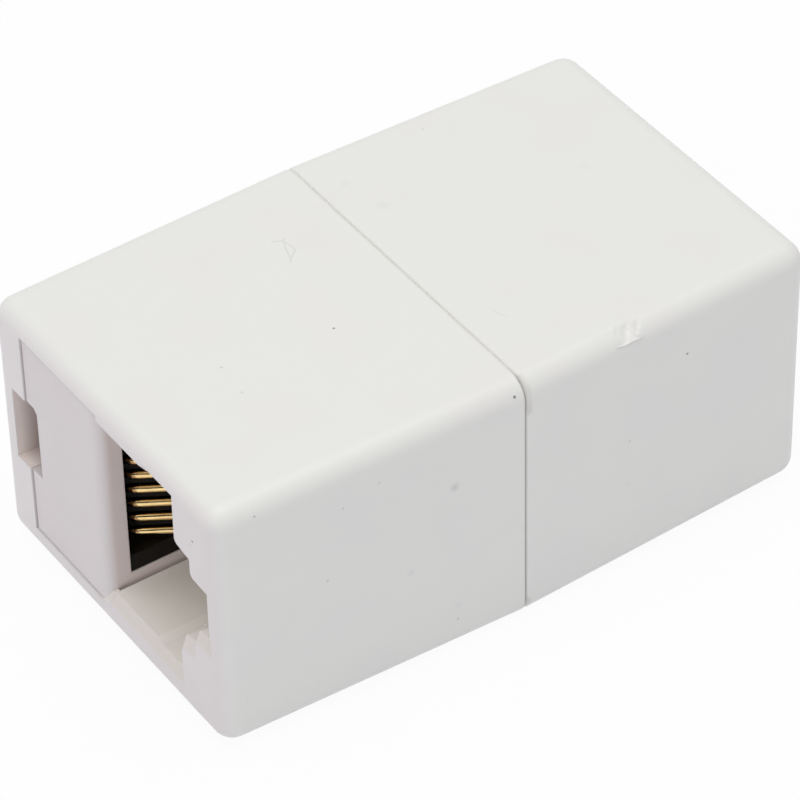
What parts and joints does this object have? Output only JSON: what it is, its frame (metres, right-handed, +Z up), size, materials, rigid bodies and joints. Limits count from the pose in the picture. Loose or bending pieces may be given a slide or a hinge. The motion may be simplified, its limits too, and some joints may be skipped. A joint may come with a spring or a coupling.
{
  "type": "modular plug inline coupler",
  "caption": "White inline coupler for two eight-way modular plugs: two half shells with a stepped socket at each end and gold spring contacts.",
  "frame": {"origin": "middle of the underside, below the seam between the two shells", "axes": "+X along the plugs towards the far port, +Z up, +Y towards the near port's contact side"},
  "size_m": [0.038, 0.023, 0.0166],
  "materials": {
    "housing": "satin",
    "insert": "satin",
    "comb": "satin",
    "core": "satin",
    "contact": "bright"
  },
  "bodies": {
    "root": {"near_shell": "housing", "far_shell": "housing", "near_insert": "insert", "far_insert": "insert", "near_comb": "comb", "far_comb": "comb", "near_core": "core", "far_core": "core", "contact_1": "contact", "contact_2": "contact", "contact_3": "contact", "contact_4": "contact", "contact_5": "contact", "contact_6": "contact", "contact_7": "contact", "contact_8": "contact"}
  },
  "joints": []
}
